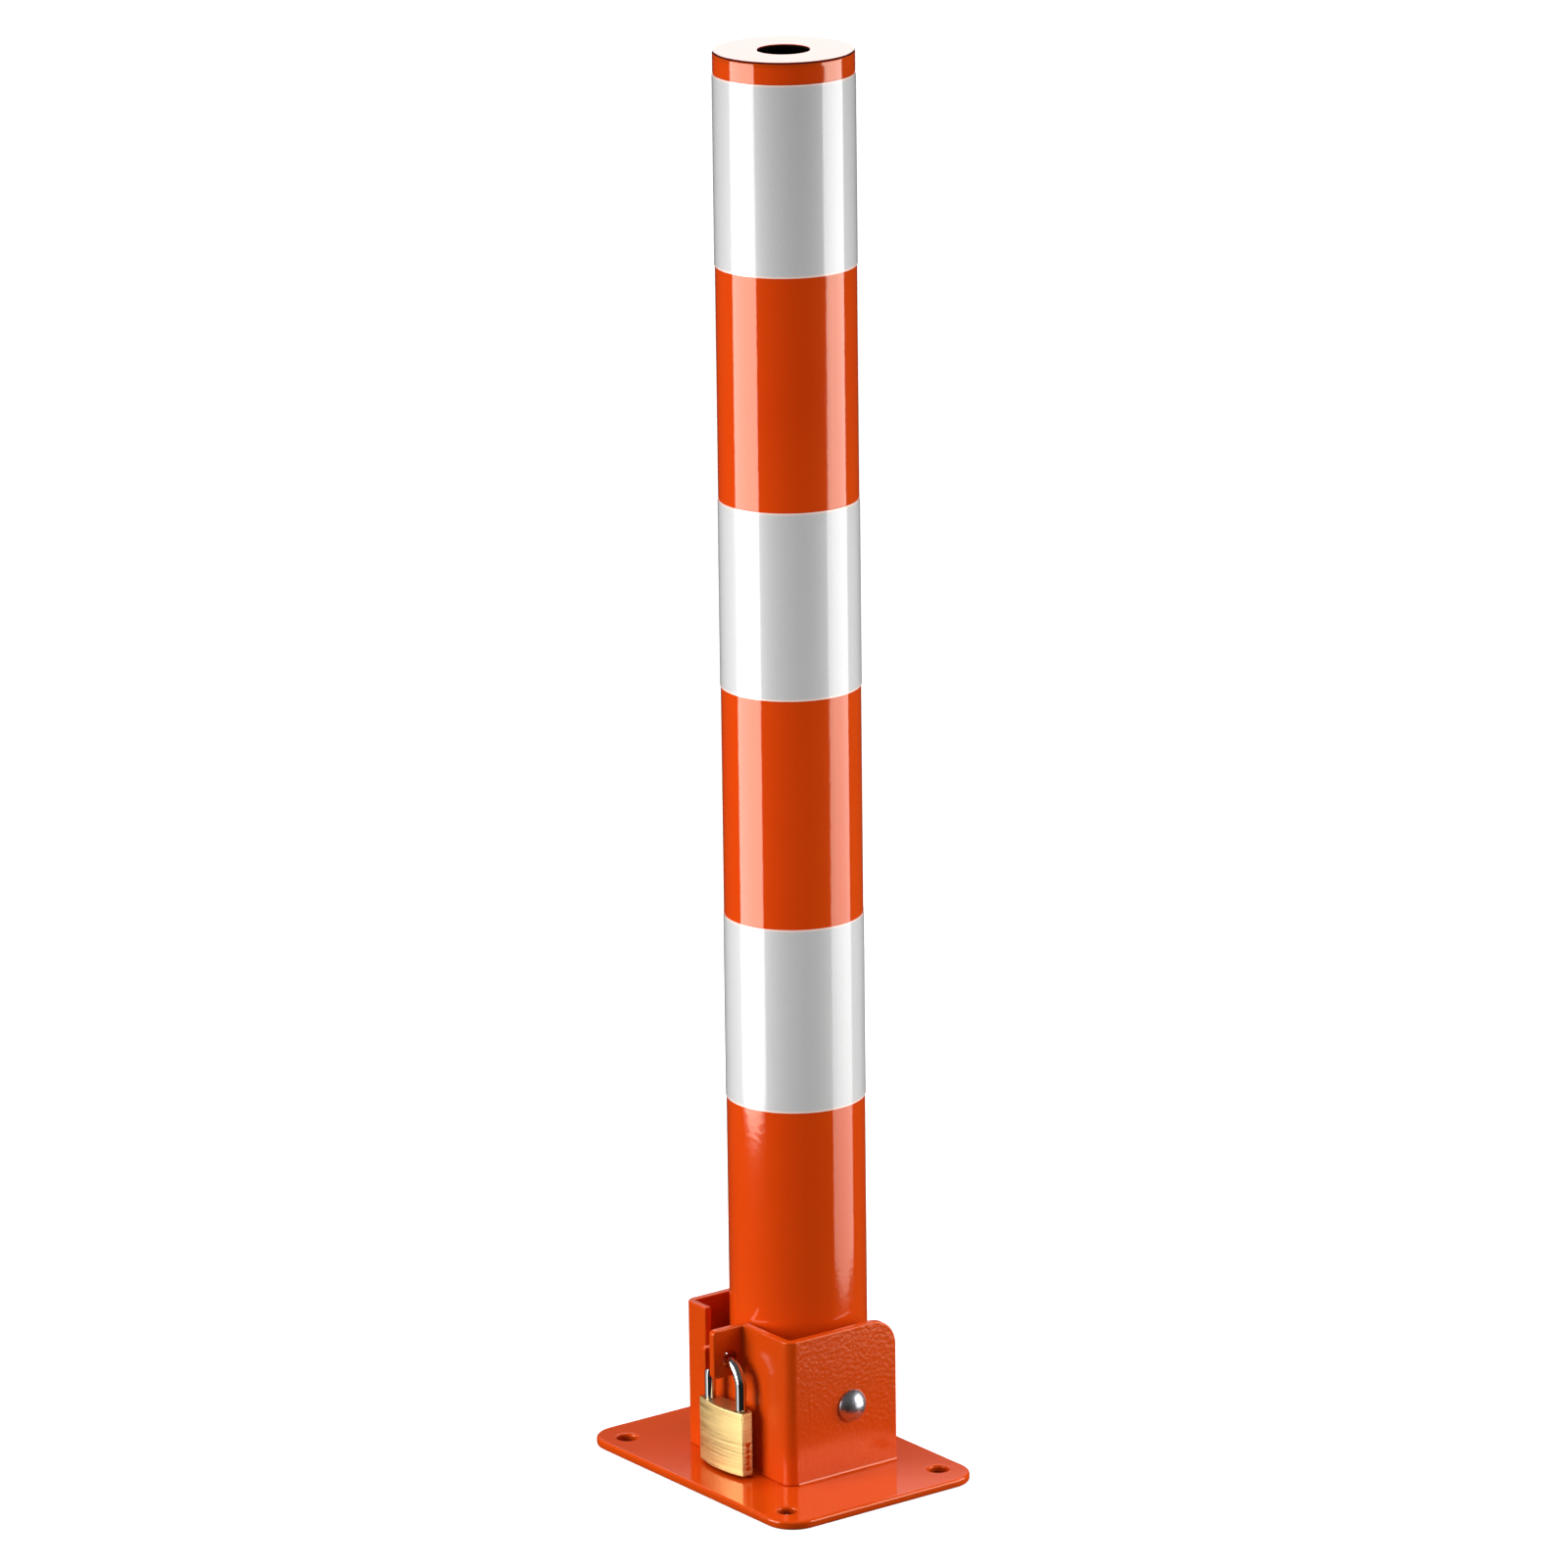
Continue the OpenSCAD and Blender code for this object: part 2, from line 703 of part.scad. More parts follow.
base_plate();
bracket();
bracket_weld();
pivot_bolt();
pivot_washer();
pivot_nut();
nut_insert();
post_tube();
top_cap();
band_top();
band_middle();
band_bottom();
pivot_sleeve();
sleeve_welds();
lock_lug();
lug_welds();
padlock_body();
shackle();
shackle_spring();
locking_bolts();
cylinder_plug();
lock_driver();
key_pins();
driver_pins();
pin_springs();
chamber_plugs();
plug_retainer();
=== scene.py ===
import math

import bpy
from mathutils import Matrix, Vector


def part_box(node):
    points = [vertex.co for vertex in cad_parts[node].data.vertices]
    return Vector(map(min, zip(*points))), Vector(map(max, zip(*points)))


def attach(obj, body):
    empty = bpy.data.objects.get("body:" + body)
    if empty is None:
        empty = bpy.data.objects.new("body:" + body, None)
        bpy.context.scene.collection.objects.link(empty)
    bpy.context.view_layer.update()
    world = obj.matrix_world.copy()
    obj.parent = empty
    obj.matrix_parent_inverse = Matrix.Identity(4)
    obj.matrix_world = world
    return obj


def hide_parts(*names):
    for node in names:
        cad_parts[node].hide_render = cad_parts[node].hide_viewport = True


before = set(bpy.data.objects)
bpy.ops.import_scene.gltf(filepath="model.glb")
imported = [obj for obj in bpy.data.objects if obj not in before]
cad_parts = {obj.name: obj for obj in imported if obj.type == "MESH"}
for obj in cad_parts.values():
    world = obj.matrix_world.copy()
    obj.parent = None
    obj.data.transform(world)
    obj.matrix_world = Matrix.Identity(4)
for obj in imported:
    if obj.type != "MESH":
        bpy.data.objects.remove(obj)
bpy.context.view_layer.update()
mm = 0.001
axisY = 12.5 * mm  # the post's own axis lies this far behind the middle of the plate
touching = 0.01 * mm  # what lies this close to a face lies on it
sameSpot = 0.002 * mm  # points this close together are one point
bandNames = ("band_top", "band_middle", "band_bottom")


def linear(hexColour):
    # sRGB hex to the linear values that shaders take
    values = [int(hexColour[i : i + 2], 16) / 255 for i in (1, 3, 5)]
    return [v / 12.92 if v <= 0.04045 else ((v + 0.055) / 1.055) ** 2.4 for v in values] + [1.0]


def addNode(tree, kind, settings=(), links=()):
    # settings holds the node's own choices and socket values, links the outputs that feed its sockets
    node = tree.nodes.new(kind)
    for name, value in dict(settings).items():
        if isinstance(name, str) and hasattr(node, name):
            setattr(node, name, value)
        else:
            node.inputs[name].default_value = value
    for name, source in dict(links).items():
        tree.links.new(source, node.inputs[name])
    return node


def mixTones(tree, share, first, second):
    # share 0 gives the first tone and 1 the second; a tone is a hex colour or a node's output
    tones = {"A": first, "B": second}
    fixed = {side: linear(tone) for side, tone in tones.items() if isinstance(tone, str)}
    fed = {side: tone for side, tone in tones.items() if side not in fixed}
    return addNode(tree, "ShaderNodeMix", {"data_type": "RGBA", **fixed}, {"Factor": share, **fed}).outputs["Result"]


def addBump(tree, surface, height, depth, strength=1.0):
    bump = addNode(tree, "ShaderNodeBump", {"Strength": strength, "Distance": depth}, {"Height": height})
    tree.links.new(bump.outputs["Normal"], surface.inputs["Normal"])


def startMaterial(name):
    # a new material with its surface shader and the place on the piece, in metres
    material = bpy.data.materials.new(name)
    material.use_nodes = True
    tree = material.node_tree
    surface = tree.nodes["Principled BSDF"]
    place = addNode(tree, "ShaderNodeTexCoord").outputs["Object"]
    return material, tree, surface, place


def setSockets(surface, values):
    for name, value in values.items():
        surface.inputs[name].default_value = value


# Camera: the photograph's viewing angle

cameraView = {
    "aim": (0, axisY, 390 * mm),
    "azimuth": 53.314,
    "elevation": 15.793,
    "roll": -0.694,
    "distance": 4729.02 * mm,
    "right": -4.375 * mm,
    "up": -2.468 * mm,
    "lens": 200.214,
    "sensor": 36,
    "near": 0.1,
    "far": 60,
}


def placeCamera(spec):
    a, e, r = (math.radians(spec[k]) for k in ("azimuth", "elevation", "roll"))
    back = Vector((math.sin(a) * math.cos(e), -math.cos(a) * math.cos(e), math.sin(e)))
    level = Vector((math.cos(a), math.sin(a), 0))
    rise = back.cross(level)
    right = level * math.cos(r) + rise * math.sin(r)
    up = rise * math.cos(r) - level * math.sin(r)
    spot = Vector(spec["aim"]) + back * spec["distance"] + right * spec["right"] + up * spec["up"]
    bpy.ops.object.camera_add()
    camera = bpy.context.object
    camera.name = "photoCamera"
    camera.data.lens = spec["lens"]
    camera.data.sensor_width = spec["sensor"]
    camera.data.clip_start = spec["near"]
    camera.data.clip_end = spec["far"]
    turn = Matrix((right, up, back)).transposed().to_4x4()
    camera.matrix_world = Matrix.Translation(spot) @ turn
    bpy.context.scene.camera = camera


placeCamera(cameraView)
print("camera placed")


# Studio: a pale floor, tall strip boxes and lights at both sides, a high card behind, soft light from above,
# and lights for the tube, the film or the padlock alone, each as the photograph shows it mirrored or lit

studio = {
    "cameraBearing": -36.69,  # degrees from +X, where the camera stands
    # bearings to the left (-) and right (+) of the camera, heights in metres, brightness in W per sr and m2
    "boxes": {
        "leftStrip": {
            "from": -96, "to": -49, "away": 1.0, "low": -0.12, "high": 0.68, "radiance": 6.4, "lights": False,
        },
        "rightStrip": {
            "from": 63, "to": 106, "away": 1.0, "low": -0.232, "high": 0.68, "radiance": 6.2, "foot": 0.42,
        },
        "backCard": {"from": 165, "to": 195, "away": 1.5, "low": 0.86, "high": 1.9, "radiance": 2.4},
        "backCardFoot": {"from": 165, "to": 195, "away": 1.5, "low": 0.58, "high": 0.86, "radiance": 0.8},
        "leftLight": {
            "from": -84, "to": -54, "away": 1.2, "low": -0.1, "high": 0.9, "radiance": 9.0, "mirrored": False,
        },
        "rightLight": {
            "from": 45, "to": 105, "away": 1.0, "low": 0.0, "high": 0.9, "radiance": 1.1, "mirrored": False,
        },
        "tubeFill": {
            "from": -65, "to": -15, "away": 1.0, "low": 0.0, "high": 1.0, "radiance": 1.0, "mirrored": False,
            "onlyFor": "tube", "tint": "#ff8066",
        },
        "bandFill": {
            "from": -70, "to": -20, "away": 1.0, "low": 0.0, "high": 1.0, "radiance": 0.3, "mirrored": False,
            "onlyFor": "bands", "tint": "#f4f6ff",
        },
        "lockCard": {
            "from": -118, "to": -70, "away": 0.9, "low": -0.55, "high": -0.14, "radiance": 0.42, "onlyFor": "metal",
        },
        "legCard": {
            "from": -74, "to": -56, "away": 0.9, "low": -0.55, "high": 0.2, "radiance": 1.6, "onlyFor": "metal",
        },
        "lockSideCard": {
            "from": 10, "to": 50, "away": 0.5, "low": -0.3, "high": 0.3, "radiance": 4.5, "onlyFor": "brass",
        },
    },
    "overhead": {"irradiance": 2.1, "spread": 40, "height": 3},
    "floor": {"size": 16, "colour": "#e6e6e6", "glow": 0.55, "rough": 0.9, "specular": 0.1},
    # the room's brightness as the camera sees it, as it fills, and as it is mirrored, where it rises from its
    # low value at the sine of elevation "dimTo" to its high value at "brightFrom"
    "room": {"seen": 1.0, "fill": 0.045, "low": 0.015, "high": 0.09, "dimTo": -0.02, "brightFrom": 0.35},
}
# the groups of pieces that some lights shine on alone
litAlone = {name: bpy.data.collections.new(name + "Pieces") for name in ("metal", "brass", "tube", "bands")}


def addBox(name, spec):
    middle = math.radians(studio["cameraBearing"] + (spec["from"] + spec["to"]) / 2)
    half = math.radians((spec["to"] - spec["from"]) / 2)
    spot = Vector(
        (
            math.cos(middle) * spec["away"],
            math.sin(middle) * spec["away"] + axisY,
            (spec["low"] + spec["high"]) / 2,
        )
    )
    bpy.ops.object.light_add(type="AREA", location=spot)
    light = bpy.context.object
    light.name = name
    light.rotation_euler = Vector((-math.cos(middle), -math.sin(middle), 0)).to_track_quat("-Z", "Y").to_euler()
    light.data.shape = "RECTANGLE"
    light.data.size = 2 * spec["away"] * math.tan(half)
    light.data.size_y = spec["high"] - spec["low"]
    light.data.color = linear(spec.get("tint", "#ffffff"))[:3]
    light.data.energy = spec["radiance"] * math.pi * light.data.size * light.data.size_y
    if "foot" in spec:
        # the box is dimmer towards its lower end
        light.data.use_nodes = True
        tree = light.data.node_tree
        along = addNode(tree, "ShaderNodeNewGeometry").outputs["Parametric"]
        up = addNode(tree, "ShaderNodeSeparateXYZ", links={0: along}).outputs["Y"]
        dim = addNode(tree, "ShaderNodeMapRange", {"To Min": spec["foot"]}, {"Value": up}).outputs[0]
        tree.links.new(dim, tree.nodes["Emission"].inputs["Strength"])
    light.visible_camera = False
    light.visible_glossy = spec.get("mirrored", True)
    light.visible_diffuse = spec.get("lights", True)
    if "onlyFor" in spec:
        light.light_linking.receiver_collection = litAlone[spec["onlyFor"]]


def addOverhead(spec):
    bpy.ops.object.light_add(type="SUN", location=(0, 0, spec["height"]))
    sun = bpy.context.object
    sun.name = "overheadLight"
    sun.data.energy = spec["irradiance"]
    sun.data.angle = math.radians(spec["spread"])
    sun.visible_glossy = False


def addFloor(spec):
    bpy.ops.mesh.primitive_plane_add(size=spec["size"])
    floor = bpy.context.object
    floor.name = "paleFloor"
    material, _, surface, _ = startMaterial("paleFloorPaper")
    setSockets(
        surface,
        {
            "Base Color": linear(spec["colour"]),
            "Roughness": spec["rough"],
            "Specular IOR Level": spec["specular"],
            "Emission Color": (1, 1, 1, 1),
            "Emission Strength": spec["glow"],
        },
    )
    floor.data.materials.append(material)
    # the photograph is cut out on white: its paint mirrors a dark room and no floor
    floor.visible_glossy = False
    floor.visible_diffuse = False
    floor.visible_shadow = False


def addRoom(spec):
    world = bpy.data.worlds.new("studioRoom")
    bpy.context.scene.world = world
    world.use_nodes = True
    tree = world.node_tree
    lookUp = addNode(tree, "ShaderNodeTexCoord").outputs["Generated"]
    height = addNode(tree, "ShaderNodeSeparateXYZ", links={0: lookUp}).outputs["Z"]
    mirrored = addNode(
        tree,
        "ShaderNodeMapRange",
        {
            "interpolation_type": "SMOOTHSTEP",
            "From Min": spec["dimTo"],
            "From Max": spec["brightFrom"],
            "To Min": spec["low"],
            "To Max": spec["high"],
        },
        {"Value": height},
    ).outputs[0]
    path = addNode(tree, "ShaderNodeLightPath").outputs
    filled = addNode(
        tree,
        "ShaderNodeMix",
        {"data_type": "FLOAT", "B": spec["fill"]},
        {"Factor": path["Is Diffuse Ray"], "A": mirrored},
    ).outputs[0]
    strength = addNode(
        tree,
        "ShaderNodeMix",
        {"data_type": "FLOAT", "B": spec["seen"]},
        {"Factor": path["Is Camera Ray"], "A": filled},
    ).outputs[0]
    tree.links.new(strength, tree.nodes["Background"].inputs["Strength"])
    tree.nodes["Background"].inputs["Color"].default_value = (1, 1, 1, 1)


for name, spec in studio["boxes"].items():
    addBox(name, spec)
addOverhead(studio["overhead"])
addFloor(studio["floor"])
addRoom(studio["room"])
bpy.context.scene.view_settings.view_transform = "Standard"
print("studio lit")


# Materials

paintLook = {
    "colour": "#d84c0c",
    "deep": "#cf4007",
    "shine": "#ffe3cc",
    "drift": 70 * mm,  # how far apart the paler and deeper patches lie
    "peel": 2.6 * mm,  # one dimple of the orange peel
    "peelDepth": 0.018 * mm,
    "rough": 0.07,
    "roughShift": (0.8, 1.3),  # times rough, from patch to patch
    "index": 1.5,
    "specular": 0.8,
    "speck": 14 * mm,  # dust nibs under the paint, this far apart
    "speckSize": 0.045,  # as a share of that distance
    "speckHeight": 1.5,  # in depths of the orange peel
    # dark within the post: bare mill scale inside the tube, painted shade on the cap's painted hole wall
    "millScaleAndShade": "#1d1210",
    "darkWithin": 0,  # so near the post's axis the colour turns dark
    # painted shade: a dark ring at the cap's rounded top edge, standing in for the dark room that edge mirrors
    "edgeShadeTone": "#4a0c06",
    "edgeShadeAbove": 0,  # above this height the painted edge shade begins
    "edgeShadeBand": (36.9 * mm, 37.3 * mm),  # from the post's axis, where the painted edge shade begins and is full
}
paintThickLook = {**paintLook, "peel": 2.4 * mm, "peelDepth": 0.16 * mm, "rough": 0.14, "shine": "#ffc39c"}
paintPlateLook = {**paintLook, "shine": "#ffc9a6"}
# the tube's dark inside is mill scale; the cap's dark hole wall is painted shade
paintTubeLook = {**paintLook, "darkWithin": 37 * mm}
paintCapLook = {**paintLook, "darkWithin": 14.1 * mm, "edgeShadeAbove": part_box("top_cap")[1].z - 0.9 * mm}


def fromAxis(tree, place):
    # how far a place is from the post's axis
    beside = addNode(tree, "ShaderNodeVectorMath", {"operation": "SUBTRACT", 1: (0, axisY, 0)}, {0: place}).outputs[0]
    flat = addNode(tree, "ShaderNodeVectorMath", {"operation": "MULTIPLY", 1: (1, 1, 0)}, {0: beside}).outputs[0]
    return addNode(tree, "ShaderNodeVectorMath", {"operation": "LENGTH"}, {0: flat}).outputs["Value"]


def glossyPowderCoat(name, look):
    # baked polyester powder: deep even colour under a clear gloss, with orange peel and a few dust nibs
    material, tree, surface, place = startMaterial(name)
    drift = addNode(
        tree, "ShaderNodeTexNoise", {"Scale": 1 / look["drift"], "Detail": 3.0}, {"Vector": place}
    ).outputs["Fac"]
    colour = mixTones(tree, drift, look["colour"], look["deep"])
    if look["darkWithin"] or look["edgeShadeAbove"]:
        reach = fromAxis(tree, place)
    if look["darkWithin"]:
        # dark within: bare mill scale inside the tube, and painted shade on the cap's painted hole wall
        inside = addNode(tree, "ShaderNodeMath", {"operation": "LESS_THAN", 1: look["darkWithin"]}, {0: reach})
        colour = mixTones(tree, inside.outputs[0], colour, look["millScaleAndShade"])
    if look["edgeShadeAbove"]:
        # painted shade: the cap's rounded top edge is darkened, standing in for the dark it mirrors
        height = addNode(tree, "ShaderNodeSeparateXYZ", links={0: place}).outputs["Z"]
        above = addNode(tree, "ShaderNodeMath", {"operation": "GREATER_THAN", 1: look["edgeShadeAbove"]}, {0: height})
        begins, full = look["edgeShadeBand"]
        edge = addNode(tree, "ShaderNodeMapRange", {"From Min": begins, "From Max": full}, {"Value": reach})
        edgeShade = addNode(
            tree, "ShaderNodeMath", {"operation": "MULTIPLY"}, {0: above.outputs[0], 1: edge.outputs[0]}
        ).outputs[0]
        colour = mixTones(tree, edgeShade, colour, look["edgeShadeTone"])
    tree.links.new(colour, surface.inputs["Base Color"])
    dimples = addNode(
        tree,
        "ShaderNodeTexNoise",
        {"Scale": 1 / look["peel"], "Detail": 2.0, "Roughness": 0.45},
        {"Vector": place},
    ).outputs["Fac"]
    nibs = addNode(
        tree, "ShaderNodeTexVoronoi", {"Scale": 1 / look["speck"], "Randomness": 1.0}, {"Vector": place}
    ).outputs["Distance"]
    nibHeight = addNode(
        tree,
        "ShaderNodeMapRange",
        {"From Min": 0.0, "From Max": look["speckSize"], "To Min": 1.0, "To Max": 0.0},
        {"Value": nibs},
    ).outputs[0]
    height = addNode(
        tree,
        "ShaderNodeMath",
        {"operation": "MULTIPLY_ADD", 1: look["speckHeight"]},
        {0: nibHeight, 2: dimples},
    ).outputs[0]
    addBump(tree, surface, height, look["peelDepth"])
    least, most = (shift * look["rough"] for shift in look["roughShift"])
    gloss = addNode(tree, "ShaderNodeMapRange", {"To Min": least, "To Max": most}, {"Value": drift}).outputs[0]
    tree.links.new(gloss, surface.inputs["Roughness"])
    setSockets(
        surface,
        {"IOR": look["index"], "Specular IOR Level": look["specular"], "Specular Tint": linear(look["shine"])},
    )
    return material


filmLook = {
    "grey": "#cecece",
    "pale": "#dcdcdb",
    # the pale pinkish rim along each band's edge: a painted highlight, where the edge catches light
    "edge": "#fbe3d9",
    "bead": 0.7 * mm,
    "beadDepth": 0.01 * mm,
    "rough": 0.4,
    "coatRough": 0.06,
    "index": 1.5,
    "bandMiddle": 264 * mm,  # middle of the lowest band above the ground
    "bandStep": 232 * mm,
    "edgeHighlightFrom": 50.9 * mm,  # from the band's middle outwards, the film's edge is painted paler as a highlight
}


def reflectiveFilm(look):
    # glass-bead sheeting: pale grey with a fine grain under a clear glossy face, sealed along its edges, where a
    # paler rim is a painted highlight
    material, tree, surface, place = startMaterial("reflectiveFilm")
    grain = addNode(
        tree, "ShaderNodeTexNoise", {"Scale": 1 / look["bead"], "Detail": 1.0}, {"Vector": place}
    ).outputs["Fac"]
    face = mixTones(tree, grain, look["grey"], look["pale"])
    z = addNode(tree, "ShaderNodeSeparateXYZ", links={0: place}).outputs["Z"]
    fromFirst = addNode(
        tree, "ShaderNodeMath", {"operation": "SUBTRACT", 1: look["bandMiddle"]}, {0: z}
    ).outputs[0]
    fromMiddle = addNode(
        tree, "ShaderNodeMath", {"operation": "PINGPONG", 1: look["bandStep"] / 2}, {0: fromFirst}
    ).outputs[0]
    onEdgeHighlight = addNode(
        tree, "ShaderNodeMath", {"operation": "GREATER_THAN", 1: look["edgeHighlightFrom"]}, {0: fromMiddle}
    ).outputs[0]
    # the band's edge is painted paler: a painted highlight
    tree.links.new(mixTones(tree, onEdgeHighlight, face, look["edge"]), surface.inputs["Base Color"])
    addBump(tree, surface, grain, look["beadDepth"], strength=0.6)
    setSockets(
        surface,
        {
            "Roughness": look["rough"],
            "IOR": look["index"],
            "Coat Weight": 1.0,
            "Coat Roughness": look["coatRough"],
            "Coat IOR": look["index"],
        },
    )
    return material


metalLook = {
    "streak": 0.3,  # how far the scratches change the roughness, as a share of it
    "streakSize": 0.3 * mm,
    "slender": 0.01,  # a scratch's width over its length
    "along": "Z",
    "depth": 0.004 * mm,
    "spread": (0.3, 0.7),  # of the noise, from the finest scratch to the coarsest
    "worn": None,  # the tone of the tarnish
    "wornSpread": (0.3, 0.6),
}
brassLook = {
    **metalLook,
    "colour": "#cdb37a",
    "rough": 0.42,
    "streakSize": 0.6 * mm,
    "along": "XY",
    "depth": 0.003 * mm,
    "worn": "#b89c62",
}
chromeLook = {**metalLook, "colour": "#d9dadd", "rough": 0.07, "streakSize": 0.4 * mm}
zincLook = {**metalLook, "colour": "#c9ccd2", "rough": 0.34, "streakSize": 0.5 * mm}
steelLook = {**metalLook, "colour": "#9a9ca0", "rough": 0.35}


def plainMetal(name, look):
    # a bare or plated metal with fine scratches in one direction
    material, tree, surface, place = startMaterial(name)
    scale = [(look["slender"] if axis in look["along"] else 1) / look["streakSize"] for axis in "XYZ"]
    stretched = addNode(tree, "ShaderNodeMapping", {"Scale": scale}, {"Vector": place}).outputs[0]
    lines = addNode(tree, "ShaderNodeTexNoise", {"Scale": 1.0, "Detail": 3.0}, {"Vector": stretched}).outputs["Fac"]
    finest, coarsest = look["spread"]
    least, most = (look["rough"] * (1 + shift) for shift in (-look["streak"], look["streak"]))
    rough = addNode(
        tree,
        "ShaderNodeMapRange",
        {"From Min": finest, "From Max": coarsest, "To Min": least, "To Max": most},
        {"Value": lines},
    ).outputs[0]
    tree.links.new(rough, surface.inputs["Roughness"])
    setSockets(surface, {"Base Color": linear(look["colour"]), "Metallic": 1.0})
    if look["worn"]:
        # the deeper scratches hold a little tarnish
        deepest, clean = look["wornSpread"]
        tone = addNode(tree, "ShaderNodeMapRange", {"From Min": deepest, "From Max": clean}, {"Value": lines})
        tree.links.new(mixTones(tree, tone.outputs[0], look["worn"], look["colour"]), surface.inputs["Base Color"])
    addBump(tree, surface, lines, look["depth"], strength=0.5)
    return material


nylonLook = {
    "deep": "#dfe1dc",
    "pale": "#eceee9",
    "cloud": 1.2 * mm,
    "cloudDepth": 0.01 * mm,
    "rough": 0.38,
    "index": 1.53,
    "letsIn": 0.25,  # share of the light that goes into it
    "lightReach": (0.8 * mm, 0.8 * mm, 0.7 * mm),
}


def mouldedNylon(look):
    # the locking ring of the nut: milky polyamide, moulded, which lets a little light into it
    material, tree, surface, place = startMaterial("mouldedNylon")
    cloud = addNode(
        tree, "ShaderNodeTexNoise", {"Scale": 1 / look["cloud"], "Detail": 2.0}, {"Vector": place}
    ).outputs["Fac"]
    tree.links.new(mixTones(tree, cloud, look["deep"], look["pale"]), surface.inputs["Base Color"])
    addBump(tree, surface, cloud, look["cloudDepth"], strength=0.3)
    setSockets(
        surface,
        {
            "Roughness": look["rough"],
            "IOR": look["index"],
            "Subsurface Weight": look["letsIn"],
            "Subsurface Radius": look["lightReach"],
            "Subsurface Scale": 1.0,
        },
    )
    return material


paint = glossyPowderCoat("glossyPowderCoat", paintLook)
paintThick = glossyPowderCoat("glossyPowderCoatThick", paintThickLook)
paintTube = glossyPowderCoat("glossyPowderCoatTube", paintTubeLook)
paintPlate = glossyPowderCoat("glossyPowderCoatPlate", paintPlateLook)
paintCap = glossyPowderCoat("glossyPowderCoatCap", paintCapLook)
film = reflectiveFilm(filmLook)
brass = plainMetal("brushedBrass", brassLook)
chrome = plainMetal("chromePlatedSteel", chromeLook)
zinc = plainMetal("zincPlatedSteel", zincLook)
steel = plainMetal("springSteel", steelLook)
nylon = mouldedNylon(nylonLook)
print("materials made")


def dress(material, *names):
    for name in names:
        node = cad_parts[name]
        node.data.materials.clear()
        node.data.materials.append(material)


dress(paint, "bracket", "bracket_weld", "sleeve_welds", "lock_lug", "lug_welds")
dress(paintTube, "post_tube")
dress(paintPlate, "base_plate")
dress(paintCap, "top_cap")
dress(film, *bandNames)
dress(brass, "padlock_body", "cylinder_plug", "key_pins", "driver_pins", "chamber_plugs")
dress(chrome, "shackle", "locking_bolts")
dress(zinc, "pivot_bolt", "pivot_washer", "pivot_nut", "pivot_sleeve", "lock_driver", "plug_retainer")
dress(steel, "shackle_spring", "pin_springs")
dress(nylon, "nut_insert")


# what is picked in edit mode
pickPoints = (True, False, False)
pickEdges = (False, True, False)
pickFaces = (False, False, True)


def clearSelection(mode=pickPoints):
    bpy.ops.object.select_all(action="DESELECT")
    bpy.context.tool_settings.mesh_select_mode = mode


def selectOnly(piece, mode=pickPoints):
    clearSelection(mode)
    piece.select_set(True)
    bpy.context.view_layer.objects.active = piece


def copyPacked(name, newName, mode=pickPoints):
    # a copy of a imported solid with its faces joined, all selected and left in edit mode
    piece = bpy.data.objects.new(newName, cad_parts[name].data.copy())
    bpy.context.scene.collection.objects.link(piece)
    selectOnly(piece, mode)
    bpy.ops.object.mode_set(mode="EDIT")
    bpy.ops.mesh.select_all(action="SELECT")
    bpy.ops.mesh.remove_doubles(threshold=sameSpot)
    bpy.ops.mesh.customdata_custom_splitnormals_clear()
    return piece


# Pieces with eased edges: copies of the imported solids, with their rims rounded over

blockRim = {"upright": 0.25, "within": 3.6 * mm}


def allRims(a, b, low, high):
    return True


def blockRims(a, b, low, high):
    # the upright corners and the rims of the two end faces, not the bores that open in them
    corner = (
        abs(a.z - b.z) > blockRim["upright"] * (high.z - low.z)
        and min(abs(a.x - low.x), abs(a.x - high.x)) < touching
    )
    flatEnds = min(abs(a.z - low.z), abs(a.z - high.z)) < touching and abs(a.z - b.z) < touching
    middle = (low + high) / 2
    inner = (high - low) / 2 - Vector((1, 1, 1)) * blockRim["within"]
    outer = all(abs(p.x - middle.x) > inner.x or abs(p.y - middle.y) > inner.y for p in (a, b))
    return corner or flatEnds and outer


def topRims(a, b, low, high):
    return min(a.z, b.z) > high.z - touching


easing = {"flatWithin": 0.6, "sharpFrom": 38, "smoothTo": 35, "segments": 3, "weight": 100}  # angles in degrees
easedEdges = {
    "bracket": {"body": "base", "width": 0.9 * mm, "paint": paintThick, "slot": "powder_coat", "rims": allRims},
    "lock_lug": {"body": "post", "width": 0.7 * mm, "paint": paintThick, "slot": "powder_coat", "rims": allRims},
    "padlock_body": {"body": "padlock", "width": 0.8 * mm, "paint": brass, "slot": "brass", "rims": blockRims},
    "base_plate": {"body": "base", "width": 1.5 * mm, "paint": paintPlate, "slot": "powder_coat", "rims": allRims},
    "top_cap": {"body": "post", "width": 1.1 * mm, "paint": paintCap, "slot": "powder_coat", "rims": topRims},
    "pivot_washer": {"body": "base", "width": 0.3 * mm, "paint": zinc, "slot": "zinc_plated_steel", "rims": allRims},
}


